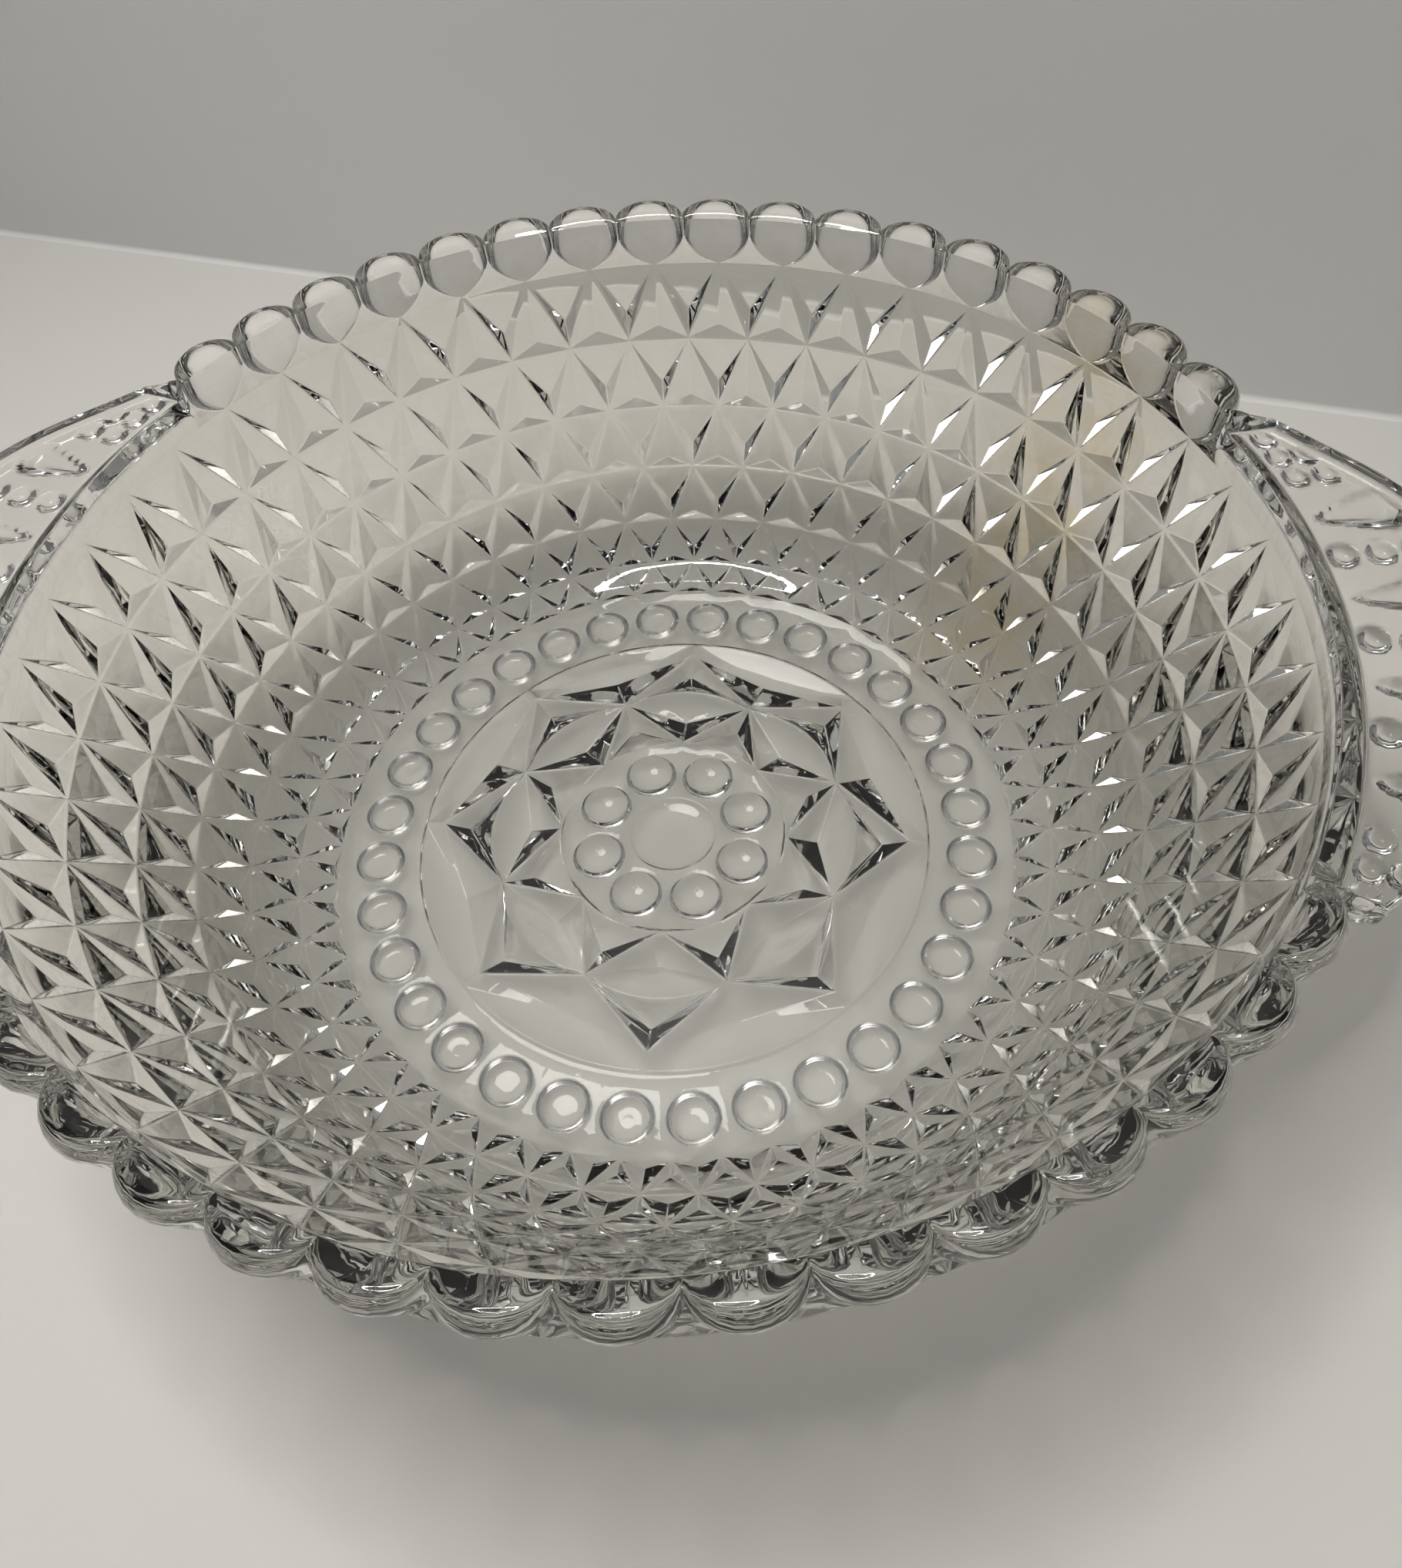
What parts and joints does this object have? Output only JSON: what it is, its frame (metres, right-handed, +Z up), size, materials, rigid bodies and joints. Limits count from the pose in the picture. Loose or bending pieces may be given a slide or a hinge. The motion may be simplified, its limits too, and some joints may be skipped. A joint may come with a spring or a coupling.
{
  "type": "two-handled glass bowl",
  "caption": "Round pressed-glass bowl with a scalloped rim, faceted lattice wall, beaded foot, star medallion base and two tab handles.",
  "frame": {"origin": "centre of the plane that the foot's beads rest on", "axes": "+Z up out of the bowl's mouth, X through the two handles, -Y the front"},
  "size_m": [0.26, 0.2186, 0.0767],
  "materials": {
    "clear_glass": "clear fire-polished pressed glass with a faint grey-green body"
  },
  "bodies": {
    "root": {"star_medallion": "clear_glass", "beaded_foot_ring": "clear_glass", "wall_quarter_right": "clear_glass", "wall_quarter_back": "clear_glass", "wall_quarter_left": "clear_glass", "wall_quarter_front": "clear_glass", "scalloped_rim_back": "clear_glass", "scalloped_rim_front": "clear_glass", "handle_right": "clear_glass", "handle_left": "clear_glass"}
  },
  "joints": []
}
